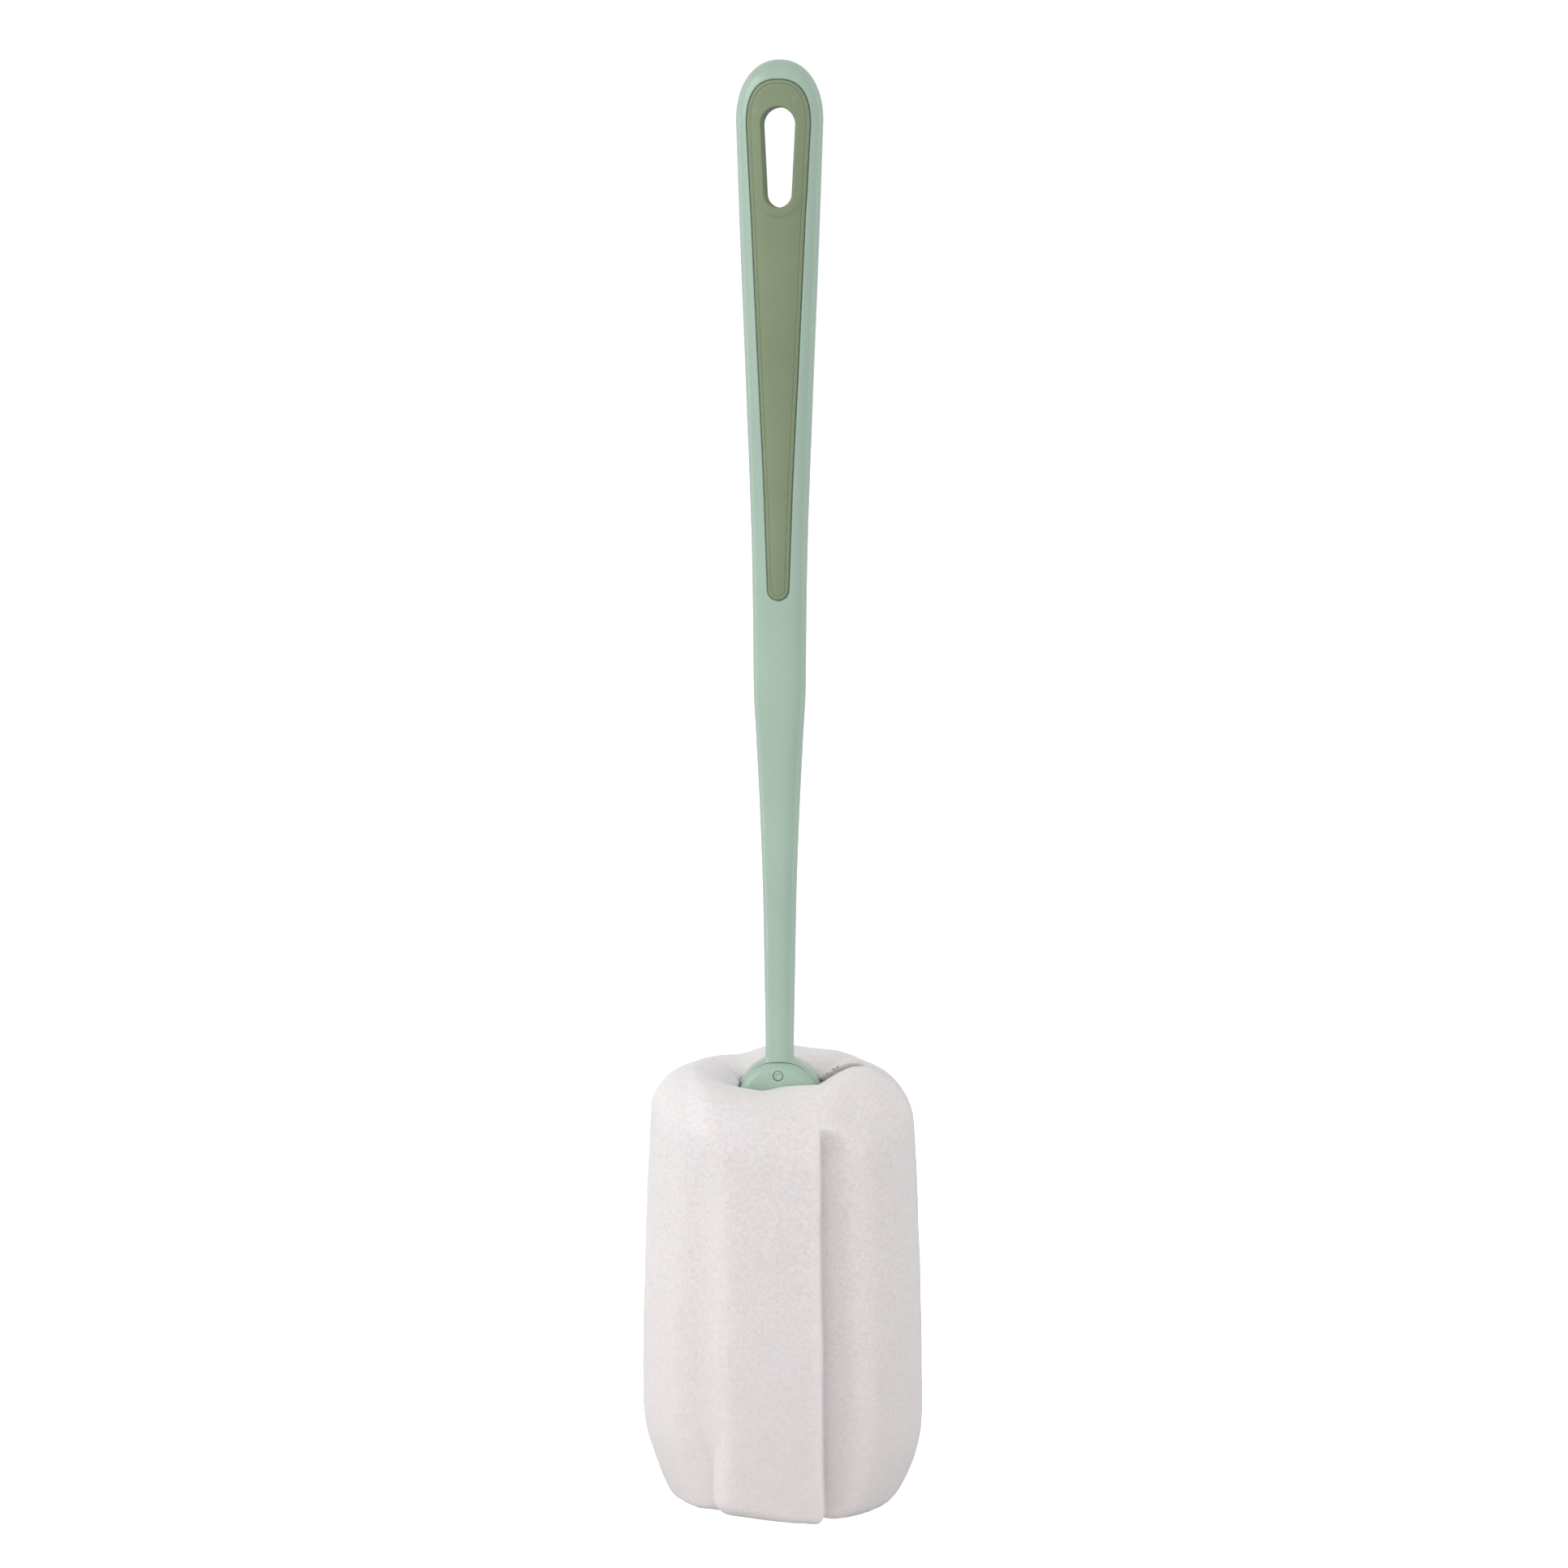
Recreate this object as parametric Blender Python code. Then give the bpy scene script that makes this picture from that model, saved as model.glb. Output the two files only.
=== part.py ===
"""Bottle brush: a two-shot handle, a barbed two-prong clamp and a foam head.

Metres, +Z up. The brush stands upright with its handle on top and its front
towards -Y. The origin is the upper inside end of the hang slot, on both
middle planes of the handle.
"""

import math

import bmesh
import bpy
from mathutils import Vector

MM = 0.001

# ---------------------------------------------------------------- dimensions
GAP = 0.3 * MM  # running and seating clearance

# handle, as loft stations from the bottom up: height, half width, half depth
TOP_Z = 10.5 * MM
CAP_W_Z = -2.9 * MM  # the outline's round end starts here
CAP_D_Z = 4.6 * MM  # the thickness starts to round off here
HANDLE = [
    (-221.3, 3.15, 3.15),
    (-209.0, 3.18, 3.18),
    (-192.0, 3.45, 3.40),
    (-174.0, 3.78, 3.60),
    (-156.0, 4.42, 3.80),
    (-138.0, 5.32, 4.00),
    (-129.0, 5.80, 4.10),
    (-114.0, 5.95, 4.20),
    (-102.0, 6.12, 4.30),
    (-66.0, 7.30, 4.45),
    (-30.0, 8.72, 4.50),
    (-2.9, 9.65, 4.50),
]
SHAFT_ROUND = 2.0  # superellipse exponents of the section
GRIP_ROUND = 2.4

# hang slot: the hull of two circles
SLOT_R_TOP = 3.75 * MM
SLOT_R_BOTTOM = 3.0 * MM
SLOT_HEIGHT = 22.0 * MM
LINER = 0.9 * MM

# soft pads: outline stations (height, half width) and the round ends
PAD = [(-106.2, 2.50), (-84.7, 3.08), (-53.8, 4.50), (-22.9, 5.92), (-4.0, 6.92)]
PAD_TOP_Z = 5.9 * MM
PAD_TIP_Z = -108.7 * MM
PAD_FLOOR = 2.9 * MM  # recess floor, from the middle plane
PAD_CROWN = 0.35 * MM  # the pad stands this proud of the handle

# clamp discs and the pin through them
DISC_Z = -221.3 * MM
DISC_R = 9.45 * MM
DISC_FACE = 4.7 * MM  # outer faces, from the middle plane
DISC_SPLIT = 1.6 * MM  # the joint between the discs, in front of the middle
DISC_EDGE = 0.6 * MM
PIN_Z = -214.8 * MM
PIN_R = 1.1 * MM
PIN_HALF = 4.55 * MM

# barbed prongs
PRONG_IN = 2.2 * MM
PRONG_OUT = 3.9 * MM
PRONG_BARB = 4.55 * MM
PRONG_TIP_Z = -296.0 * MM
PRONG_HALF_TOP = 9.2 * MM
PRONG_HALF_TIP = 6.4 * MM
BARBS = 5
BARB_FIRST_Z = -236.0 * MM
BARB_PITCH = 12.0 * MM

# foam head
HEAD_TOP_SIDE = -212.3 * MM
HEAD_TOP_FRONT = -216.4 * MM
HEAD_TOP_REAR = -211.0 * MM
HEAD_TOP_MIDDLE = -217.2 * MM
HEAD_BASE = -311.0 * MM
HEAD_R = 30.7 * MM
LOBE_FACE = 29.6 * MM  # flat face of the front and rear lobes, from the axis
LOBE_HALF = 13.0 * MM
NOTCH_DEPTH_Y = 19.0 * MM
RIDGE_ANGLE = math.radians(46.0)
POCKET_HALF_X = 9.75 * MM
POCKET_HALF_Y = 5.0 * MM
POCKET_FLOOR = -297.3 * MM


# ------------------------------------------------------------------- helpers
def clear_scene():
    for ob in list(bpy.data.objects):
        bpy.data.objects.remove(ob, do_unlink=True)


def material(name, colour, roughness):
    mat = bpy.data.materials.new(name)
    mat.use_nodes = True
    bsdf = mat.node_tree.nodes["Principled BSDF"]
    bsdf.inputs["Base Color"].default_value = (*colour, 1.0)
    bsdf.inputs["Roughness"].default_value = roughness
    bsdf.inputs["Metallic"].default_value = 0.0
    mat.diffuse_color = (*colour, 1.0)
    return mat


def through(table, z):
    """Value at z on a smooth curve through rising stations, with no overshoot."""
    n = len(table)
    xs = [t[0] for t in table]
    ys = [t[1] for t in table]
    if z <= xs[0]:
        return ys[0]
    if z >= xs[-1]:
        return ys[-1]
    slope = [(ys[i + 1] - ys[i]) / (xs[i + 1] - xs[i]) for i in range(n - 1)]
    grad = [slope[0]]
    for i in range(1, n - 1):
        a, b = slope[i - 1], slope[i]
        grad.append(0.0 if a * b <= 0 else 2 * a * b / (a + b))
    grad.append(slope[-1])
    i = max(k for k in range(n - 1) if xs[k] <= z)
    h = xs[i + 1] - xs[i]
    t = (z - xs[i]) / h
    return (
        (2 * t**3 - 3 * t**2 + 1) * ys[i]
        + (t**3 - 2 * t**2 + t) * h * grad[i]
        + (3 * t**2 - 2 * t**3) * ys[i + 1]
        + (t**3 - t**2) * h * grad[i + 1]
    )


def smooth(t):
    t = min(1.0, max(0.0, t))
    return t * t * (3 - 2 * t)


def superellipse(half_x, half_y, power, count):
    points = []
    for i in range(count):
        a = 2 * math.pi * (i + 0.5) / count
        c, s = math.cos(a), math.sin(a)
        x = math.copysign(abs(c) ** (2 / power), c) * half_x
        y = math.copysign(abs(s) ** (2 / power), s) * half_y
        points.append((x, y))
    return points


def new_object(name, mesh, mat=None):
    ob = bpy.data.objects.new(name, mesh)
    bpy.context.scene.collection.objects.link(ob)
    if mat is not None:
        ob.data.materials.append(mat)
    return ob


def loft(name, rings, mat=None):
    """Closed body through rings of equal count, listed upwards, with flat ends."""
    bm = bmesh.new()
    rows = [[bm.verts.new(p) for p in ring] for ring in rings]
    n = len(rows[0])
    for low, high in zip(rows, rows[1:]):
        for j in range(n):
            k = (j + 1) % n
            bm.faces.new((low[j], low[k], high[k], high[j]))
    bm.faces.new(list(reversed(rows[0])))
    bm.faces.new(rows[-1])
    bmesh.ops.triangulate(bm, faces=bm.faces[:])
    bmesh.ops.recalc_face_normals(bm, faces=bm.faces[:])
    mesh = bpy.data.meshes.new(name)
    bm.to_mesh(mesh)
    bm.free()
    return new_object(name, mesh, mat)


def prism(name, outline, axis, start, end, mat=None):
    """Outline pushed straight along an axis: (x, z) pairs along Y, or (y, z) pairs along X."""
    bm = bmesh.new()
    if axis == "Y":
        verts = [bm.verts.new((u, start, v)) for u, v in outline]
        shift = Vector((0, end - start, 0))
    else:
        verts = [bm.verts.new((start, u, v)) for u, v in outline]
        shift = Vector((end - start, 0, 0))
    face = bm.faces.new(verts)
    grown = bmesh.ops.extrude_face_region(bm, geom=[face])
    moved = [g for g in grown["geom"] if isinstance(g, bmesh.types.BMVert)]
    bmesh.ops.translate(bm, verts=moved, vec=shift)
    bmesh.ops.recalc_face_normals(bm, faces=bm.faces[:])
    mesh = bpy.data.meshes.new(name)
    bm.to_mesh(mesh)
    bm.free()
    return new_object(name, mesh, mat)


def turned(name, profile, centre_z, count, mat=None):
    """Round body on an axis along Y, from (radius, y) pairs listed from the front."""
    bm = bmesh.new()
    rows = []
    for radius, y in profile:
        rows.append(
            [
                bm.verts.new(
                    (
                        radius * math.cos(2 * math.pi * j / count),
                        y,
                        centre_z + radius * math.sin(2 * math.pi * j / count),
                    )
                )
                for j in range(count)
            ]
        )
    for a, b in zip(rows, rows[1:]):
        for j in range(count):
            k = (j + 1) % count
            bm.faces.new((a[j], a[k], b[k], b[j]))
    bm.faces.new(rows[0])
    bm.faces.new(rows[-1])
    bmesh.ops.recalc_face_normals(bm, faces=bm.faces[:])
    mesh = bpy.data.meshes.new(name)
    bm.to_mesh(mesh)
    bm.free()
    return new_object(name, mesh, mat)


def box(name, low, high):
    x0, y0, z0 = low
    x1, y1, z1 = high
    return prism(name, [(x0, z0), (x1, z0), (x1, z1), (x0, z1)], "Y", y0, y1)


def as_tool(ob, owner=None):
    """A body that only shapes another one: drawn as wire and left out of the part."""
    ob.hide_render = True
    ob.display_type = "WIRE"
    if owner is not None:
        ob.parent = owner
    return ob


def boolean(ob, tool, operation):
    mod = ob.modifiers.new(operation.lower() + "_" + tool.name, "BOOLEAN")
    mod.operation = operation
    mod.solver = "EXACT"
    mod.object = tool


def shade(ob, degrees=32):
    ob.data.shade_smooth()
    ob.data.set_sharp_from_angle(angle=math.radians(degrees))


def arc(cx, cy, r, start, end, steps):
    return [
        (
            cx + r * math.cos(start + (end - start) * i / steps),
            cy + r * math.sin(start + (end - start) * i / steps),
        )
        for i in range(steps + 1)
    ]


def filleted(points, radii, steps=3):
    """Open polyline with round corners; the two end points stay."""
    out = [points[0]]
    for i in range(1, len(points) - 1):
        r = radii[i]
        p = Vector(points[i])
        a = (Vector(points[i - 1]) - p).normalized()
        b = (Vector(points[i + 1]) - p).normalized()
        if r <= 0:
            out.append(tuple(p))
            continue
        half = a.angle(b) / 2
        reach = r / math.tan(half)
        start, end = p + a * reach, p + b * reach
        centre = p + (a + b).normalized() * (r / math.sin(half))
        for k in range(steps + 1):
            t = k / steps
            d = (start - centre).lerp(end - centre, t).normalized() * r
            out.append(tuple(centre + d))
    out.append(points[-1])
    return out


# ------------------------------------------------------------ handle outline
def handle_half_width(z):
    if z <= CAP_W_Z:
        return through([(a * MM, b * MM) for a, b, _ in HANDLE], z)
    t = (z - CAP_W_Z) / (TOP_Z - CAP_W_Z)
    return HANDLE[-1][1] * MM * max(0.0, 1 - t**2.15) ** (1 / 2.15)


def handle_half_depth(z):
    if z <= CAP_D_Z:
        return through([(a * MM, c * MM) for a, _, c in HANDLE], z)
    t = (z - CAP_D_Z) / (TOP_Z - CAP_D_Z)
    return HANDLE[-1][2] * MM * max(0.0, 1 - t**2.1) ** (1 / 2.1)


def handle_power(z):
    return SHAFT_ROUND + (GRIP_ROUND - SHAFT_ROUND) * smooth(
        (z + 190 * MM) / (80 * MM)
    )


def handle_heights():
    body = [-221.3, -214.0, -207.0, -198.0, -188.0, -178.0, -168.0, -159.0]
    body += [-150.0, -142.0, -135.0, -128.0, -120.0, -111.0, -100.0, -86.0]
    body += [-70.0, -54.0, -38.0, -24.0, -12.0, -2.9]
    heights = [z * MM for z in body]
    cap = TOP_Z - CAP_W_Z
    for i in range(1, 12):
        heights.append(CAP_W_Z + cap * math.sin(math.pi / 2 * i / 11.6))
    return heights


def handle_loft(name, grow=0.0, low=None, mat=None):
    """The handle's outer form; grow adds to its depth only."""
    rings = []
    for z in handle_heights():
        if low is not None and z < low:
            continue
        w, d = handle_half_width(z), handle_half_depth(z) + grow
        rings.append(
            [(x, y, z) for x, y in superellipse(w, d, handle_power(z), 36)]
        )
    return loft(name, rings, mat)


def slot_outline(offset, steps=9):
    """Hull of the slot's two end circles, each larger by the offset."""
    r1, r2 = SLOT_R_TOP + offset, SLOT_R_BOTTOM + offset
    z1, z2 = -SLOT_R_TOP, -SLOT_HEIGHT + SLOT_R_BOTTOM
    lean = math.asin((r1 - r2) / (z1 - z2))
    top = arc(0, z1, r1, -lean, math.pi + lean, steps)
    bottom = arc(0, z2, r2, math.pi + lean, 2 * math.pi - lean, steps)
    return top + bottom


def pad_outline(offset):
    """Long tear-drop of the soft pad, larger by the offset."""
    table = [(a * MM, b * MM) for a, b in PAD]
    right = []
    z_low, half_low = table[0]
    tip = z_low - (PAD_TIP_Z - offset)
    for i in range(0, 6):
        a = math.pi / 2 * i / 6
        right.append(((half_low + offset) * math.sin(a), z_low - tip * math.cos(a)))
    steps = 9
    z_high, half_high = table[-1]
    for i in range(steps + 1):
        z = z_low + (z_high - z_low) * i / steps
        right.append((through(table, z) + offset, z))
    cap = PAD_TOP_Z + offset - z_high
    for i in range(1, 9):
        a = math.pi / 2 * i / 8
        c, s = math.cos(a), math.sin(a)
        right.append(
            ((half_high + offset) * abs(c) ** 0.8 if i < 8 else 0.0, z_high + cap * s**0.8)
        )
    left = [(-x, z) for x, z in reversed(right[1:-1])]
    return right + left


# ------------------------------------------------------------- clamp profiles
def disc_profile(front, rear, round_front, round_rear):
    """(radius, y) pairs of a disc with rounded rims."""
    e = DISC_EDGE
    points = []
    if round_front:
        points += [
            (DISC_R - e + e * math.sin(a), front + e - e * math.cos(a))
            for a in (0, math.pi / 6, math.pi / 3, math.pi / 2)
        ]
    else:
        points.append((DISC_R, front))
    if round_rear:
        points += [
            (DISC_R - e + e * math.cos(a), rear - e + e * math.sin(a))
            for a in (0, math.pi / 6, math.pi / 3, math.pi / 2)
        ]
    else:
        points.append((DISC_R, rear))
    return points


def prong_side(side):
    """(y, z) outline of a prong seen from the side; barbs catch upwards."""
    outer = [(PRONG_OUT, DISC_Z)]
    for i in range(BARBS):
        z = BARB_FIRST_Z - BARB_PITCH * i
        outer += [(PRONG_OUT, z), (PRONG_BARB, z), (PRONG_OUT, z - 4.5 * MM)]
    outer += [(PRONG_OUT - 0.1 * MM, PRONG_TIP_Z + 4 * MM), (PRONG_IN + 0.5 * MM, PRONG_TIP_Z)]
    inner = [(PRONG_IN, PRONG_TIP_Z), (PRONG_IN, DISC_Z)]
    return [(side * y, z) for y, z in outer + inner]


def prong_front_outline():
    """(x, z) outline that a prong is trimmed to: it narrows to a round tip."""
    r = PRONG_HALF_TIP
    tip = PRONG_TIP_Z + r
    right = [(r * math.sin(a), tip - r * math.cos(a)) for a in
             [math.pi / 2 * i / 6 for i in range(6)]]
    right += [(r, tip), (PRONG_HALF_TOP, DISC_Z - 4 * MM), (PRONG_HALF_TOP, DISC_Z + 3 * MM)]
    left = [(-x, z) for x, z in reversed(right[1:])]
    return right + left


def prong(name, side):
    """One barbed strip below its disc."""
    low, high = -PRONG_HALF_TOP - 1 * MM, PRONG_HALF_TOP + 1 * MM
    strip = prism(name, prong_side(side), "X", low, high)
    trim = as_tool(prism(name + "_trim", prong_front_outline(), "Y", -7 * MM, 7 * MM), strip)
    boolean(strip, trim, "INTERSECT")
    return as_tool(strip)


# ----------------------------------------------------------------- foam head
def head_outline():
    """Plan of the foam head: six lobes, the front and rear ones flat-faced."""
    ridge = [
        (
            HEAD_R * math.cos(RIDGE_ANGLE * (1 - i / 6)),
            -HEAD_R * math.sin(RIDGE_ANGLE * (1 - i / 6)),
        )
        for i in range(6)
    ]
    path = [
        (0.0, -LOBE_FACE),
        (LOBE_HALF, -LOBE_FACE),
        (LOBE_HALF, -NOTCH_DEPTH_Y),
    ] + ridge
    radii = [0, 1.0 * MM, 1.6 * MM, 1.6 * MM] + [0] * 5
    quarter = filleted(path, radii)
    side = (HEAD_R, 0.0)
    front_right = quarter + [side]
    rear_right = [(x, -y) for x, y in reversed(quarter)]
    right = front_right + rear_right
    left = [(-x, y) for x, y in reversed(right[1:-1])]
    return right + left


def head_hull(x, y):
    """Distance from the axis to the head's form without its notches."""
    reach = math.hypot(x, y)
    face = LOBE_FACE * reach / max(abs(y), 1e-9)
    return max(reach, min(HEAD_R, face))


def head_meridian(x, y):
    """(radius, z) steps from the middle of the top, down the side, to the base.

    The notches keep their depth, so they fade out in the round shoulder above.
    """
    k = smooth(abs(x) / HEAD_R)
    end = HEAD_TOP_FRONT if y < 0 else HEAD_TOP_REAR
    top = end + (HEAD_TOP_SIDE - end) * smooth(abs(x) / (0.75 * HEAD_R))
    rt = (9.0 + 3.0 * k) * MM
    rb_in = (2.5 + 9.5 * k) * MM
    rb_up = (2.5 + 14.5 * k) * MM
    reach, hull = math.hypot(x, y), head_hull(x, y)
    rows = [(0.30 * hull, HEAD_TOP_MIDDLE), (0.52 * hull, top - 0.8 * MM)]
    for i in range(5):
        a = math.pi / 2 * i / 4
        inset = rt * (1 - math.sin(a)) + 1.0 * MM
        rows.append((hull - inset, top - rt * (1 - math.cos(a))))
    wall_top, wall_low = top - rt, HEAD_BASE + rb_up
    for t, inset in ((0.25, 0.3), (0.6, -0.2), (0.85, -0.5)):
        rows.append((hull - inset * MM, wall_top + (wall_low - wall_top) * t))
    for i in range(5):
        a = math.pi / 2 * i / 4
        inset = rb_in * (1 - math.cos(a)) - 0.4 * MM
        rows.append((hull - inset, wall_low - rb_up * math.sin(a)))
    notch = hull - reach > 0.2 * MM
    return [(min(r, reach) if notch else r, z) for r, z in rows]


def head_solid(name, side, mat):
    """One half of the head, on the side of the middle plane that is asked for."""
    columns = [(p, head_meridian(*p)) for p in head_outline()]
    count = len(columns[0][1])
    rings = []
    for row in reversed(range(count)):
        ring = []
        for (x, y), steps in columns:
            radius, z = steps[row]
            s = radius / math.hypot(x, y)
            ring.append((x * s, y * s, z))
        rings.append(ring)
    half = loft(name, rings, mat)
    away, edge = 40 * MM, GAP / 2
    low = -away if side > 0 else -edge
    high = edge if side > 0 else away
    other = box(name + "_other_half", (-away, low, -330 * MM), (away, high, -190 * MM))
    boolean(half, as_tool(other, half), "DIFFERENCE")
    pocket = box(
        name + "_pocket",
        (-POCKET_HALF_X, -POCKET_HALF_Y, POCKET_FLOOR),
        (POCKET_HALF_X, POCKET_HALF_Y, -190 * MM),
    )
    boolean(half, as_tool(pocket, half), "DIFFERENCE")
    return half


# --------------------------------------------------------------------- build
def build():
    clear_scene()
    mint = material("mint_plastic", (0.42, 0.62, 0.47), 0.42)
    sage = material("sage_soft_grip", (0.25, 0.30, 0.19), 0.62)
    foam = material("white_foam", (0.80, 0.76, 0.74), 0.95)

    handle = bpy.data.objects.new("handle", None)
    bpy.context.scene.collection.objects.link(handle)
    head = bpy.data.objects.new("sponge_head", None)
    bpy.context.scene.collection.objects.link(head)
    head.location = (0, 0, PRONG_TIP_Z)
    head.parent = handle
    bpy.context.view_layer.update()

    # handle body: lofted grip and shaft, rear disc and rear prong
    body = handle_loft("handle_body", mat=mint)
    disc = turned(
        "rear_disc_form",
        disc_profile(-DISC_SPLIT - 0.8 * MM, DISC_FACE, False, True),
        DISC_Z,
        40,
    )
    boolean(body, as_tool(disc, body), "UNION")
    boolean(body, prong("rear_prong_form", 1), "UNION")
    for name, start, end in (
        ("front_recess", -8 * MM, -PAD_FLOOR),
        ("rear_recess", PAD_FLOOR, 8 * MM),
    ):
        cut = prism(name, pad_outline(GAP), "Y", start, end)
        boolean(body, as_tool(cut, body), "DIFFERENCE")
    cut = prism("slot_opening", slot_outline(LINER + GAP), "Y", -8 * MM, 8 * MM)
    boolean(body, as_tool(cut, body), "DIFFERENCE")
    seat = turned(
        "front_disc_seat",
        [(DISC_R + GAP, -7 * MM), (DISC_R + GAP, -DISC_SPLIT)],
        DISC_Z,
        40,
    )
    boolean(body, as_tool(seat, body), "DIFFERENCE")
    hole = turned(
        "body_pin_hole",
        [(PIN_R + GAP, -7 * MM), (PIN_R + GAP, 7 * MM)],
        PIN_Z,
        20,
    )
    boolean(body, as_tool(hole, body), "DIFFERENCE")
    shade(body)
    body.parent = handle

    # soft grip: two pads joined by the lining of the slot
    grip = prism("soft_grip", pad_outline(0.0), "Y", -8 * MM, 8 * MM, sage)
    crown = handle_loft("grip_crown", grow=PAD_CROWN, low=-125 * MM)
    boolean(grip, as_tool(crown, grip), "INTERSECT")
    core = prism(
        "grip_core",
        pad_outline(1.2 * MM),
        "Y",
        -PAD_FLOOR - GAP,
        PAD_FLOOR + GAP,
    )
    lining = prism("slot_lining_form", slot_outline(LINER), "Y", -7 * MM, 7 * MM)
    boolean(core, as_tool(lining, grip), "DIFFERENCE")
    boolean(grip, as_tool(core, grip), "DIFFERENCE")
    opening = prism("slot_form", slot_outline(0.0), "Y", -8 * MM, 8 * MM)
    boolean(grip, as_tool(opening, grip), "DIFFERENCE")
    shade(grip)
    grip.parent = handle

    # front prong: round disc with its barbed strip
    front = turned(
        "front_prong",
        disc_profile(-DISC_FACE, -DISC_SPLIT - GAP, True, False),
        DISC_Z,
        40,
        mint,
    )
    boolean(front, prong("front_prong_form", -1), "UNION")
    hole = turned(
        "front_pin_hole",
        [(PIN_R + GAP, -7 * MM), (PIN_R + GAP, 7 * MM)],
        PIN_Z,
        20,
    )
    boolean(front, as_tool(hole, front), "DIFFERENCE")
    shade(front)
    front.parent = handle

    # the stud through both discs, with chamfered ends
    e = 0.2 * MM
    pin = turned(
        "prong_pin",
        [
            (PIN_R - e, -PIN_HALF),
            (PIN_R, -PIN_HALF + e),
            (PIN_R, PIN_HALF - e),
            (PIN_R - e, PIN_HALF),
        ],
        PIN_Z,
        20,
        mint,
    )
    shade(pin)
    pin.parent = handle

    # foam head: two halves that slide together along the prongs
    for name, side in (("sponge_front", -1), ("sponge_rear", 1)):
        half = head_solid(name, side, foam)
        half.parent = head
        half.matrix_parent_inverse = head.matrix_world.inverted()
        shade(half, 40)


build()
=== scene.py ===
"""Looks of the bottle brush: fine meshes and finishes around the fixed frame.

The shapes are worked out in millimetres and turned into metres when a mesh is made.
Right means +X and front means -Y, as in the frame.
"""

import math

import bmesh
import bpy
import numpy as np
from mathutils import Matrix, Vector


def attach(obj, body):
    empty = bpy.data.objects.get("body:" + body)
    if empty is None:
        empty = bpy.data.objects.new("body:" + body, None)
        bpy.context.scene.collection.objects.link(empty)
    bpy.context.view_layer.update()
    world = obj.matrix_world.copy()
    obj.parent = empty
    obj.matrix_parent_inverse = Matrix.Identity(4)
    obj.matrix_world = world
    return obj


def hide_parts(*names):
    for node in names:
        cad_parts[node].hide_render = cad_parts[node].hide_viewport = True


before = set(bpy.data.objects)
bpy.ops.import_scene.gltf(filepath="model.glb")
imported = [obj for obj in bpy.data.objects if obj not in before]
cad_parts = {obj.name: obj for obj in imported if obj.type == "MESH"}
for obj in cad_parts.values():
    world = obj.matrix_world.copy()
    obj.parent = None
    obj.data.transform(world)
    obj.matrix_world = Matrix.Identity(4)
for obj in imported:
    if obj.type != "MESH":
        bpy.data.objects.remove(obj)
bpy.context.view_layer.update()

MM = 0.001

# -------------------------------------------------------------------- camera
PITCH = math.radians(5.5)
TURN = math.radians(5.0)
REACH = 1.310
AIM = Vector((0.0, 0.0, -0.1498))

back = Vector(
    (
        math.sin(TURN) * math.cos(PITCH),
        -math.cos(TURN) * math.cos(PITCH),
        math.sin(PITCH),
    )
)
aside = Vector((math.cos(TURN), math.sin(TURN), 0.0))
camera_data = bpy.data.cameras.new("camera")
camera_data.lens = 135.0
camera_data.sensor_width = 36.0
camera_data.clip_start = 0.05
camera_data.clip_end = 60.0
camera = bpy.data.objects.new("camera", camera_data)
bpy.context.scene.collection.objects.link(camera)
camera.location = AIM + aside * 0.00094 + back * REACH
camera.rotation_mode = "QUATERNION"
camera.rotation_quaternion = (-back).to_track_quat("-Z", "Y")
bpy.context.scene.camera = camera

# ---------------------------------------------------------- sizes of the CAD
GAP = 0.3
CLOSE = 0.04  # play between the soft pads and the wall of their recess
TOP_Z, CAP_W_Z, CAP_D_Z = 10.5, -2.9, 4.6
HANDLE_Z = [-221.3, -209, -192, -174, -156, -138, -129, -114, -102, -66, -30, -2.9]
HANDLE_W = [3.15, 3.18, 3.45, 3.78, 4.42, 5.32, 5.80, 5.95, 6.12, 7.30, 8.72, 9.65]
HANDLE_D = [3.15, 3.18, 3.40, 3.60, 3.80, 4.00, 4.10, 4.20, 4.30, 4.45, 4.50, 4.50]
SLOT_R_TOP, SLOT_R_LOW, SLOT_HEIGHT = 3.75, 3.0, 22.0
LINER = 0.9
PAD_Z = [-106.2, -84.7, -53.8, -22.9, -4.0]
PAD_W = [2.28, 3.02, 4.50, 5.92, 6.92]
PAD_TOP_Z, PAD_FLOOR, PAD_CROWN = 5.9, 2.9, 0.35
DISC_Z, DISC_R, DISC_FACE, DISC_SPLIT = -221.3, 9.45, 4.7, 1.6
RING_Z, RING_R = -221.0, 9.9  # the rear disc shows as a ring behind the front one
PIN_Z, PIN_R, PIN_HALF = -214.8, 1.1, 4.55
PRONG_IN, PRONG_OUT, PRONG_BARB = 2.2, 3.9, 4.55
PRONG_TIP_Z, PRONG_HALF_TOP, PRONG_HALF_TIP = -296.0, 9.2, 6.4
POCKET_X, POCKET_Y, POCKET_FLOOR = 9.65, 4.85, -297.3


# ------------------------------------------------------------------- helpers
def smooth(t):
    t = np.clip(t, 0.0, 1.0)
    return t * t * (3 - 2 * t)


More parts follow.
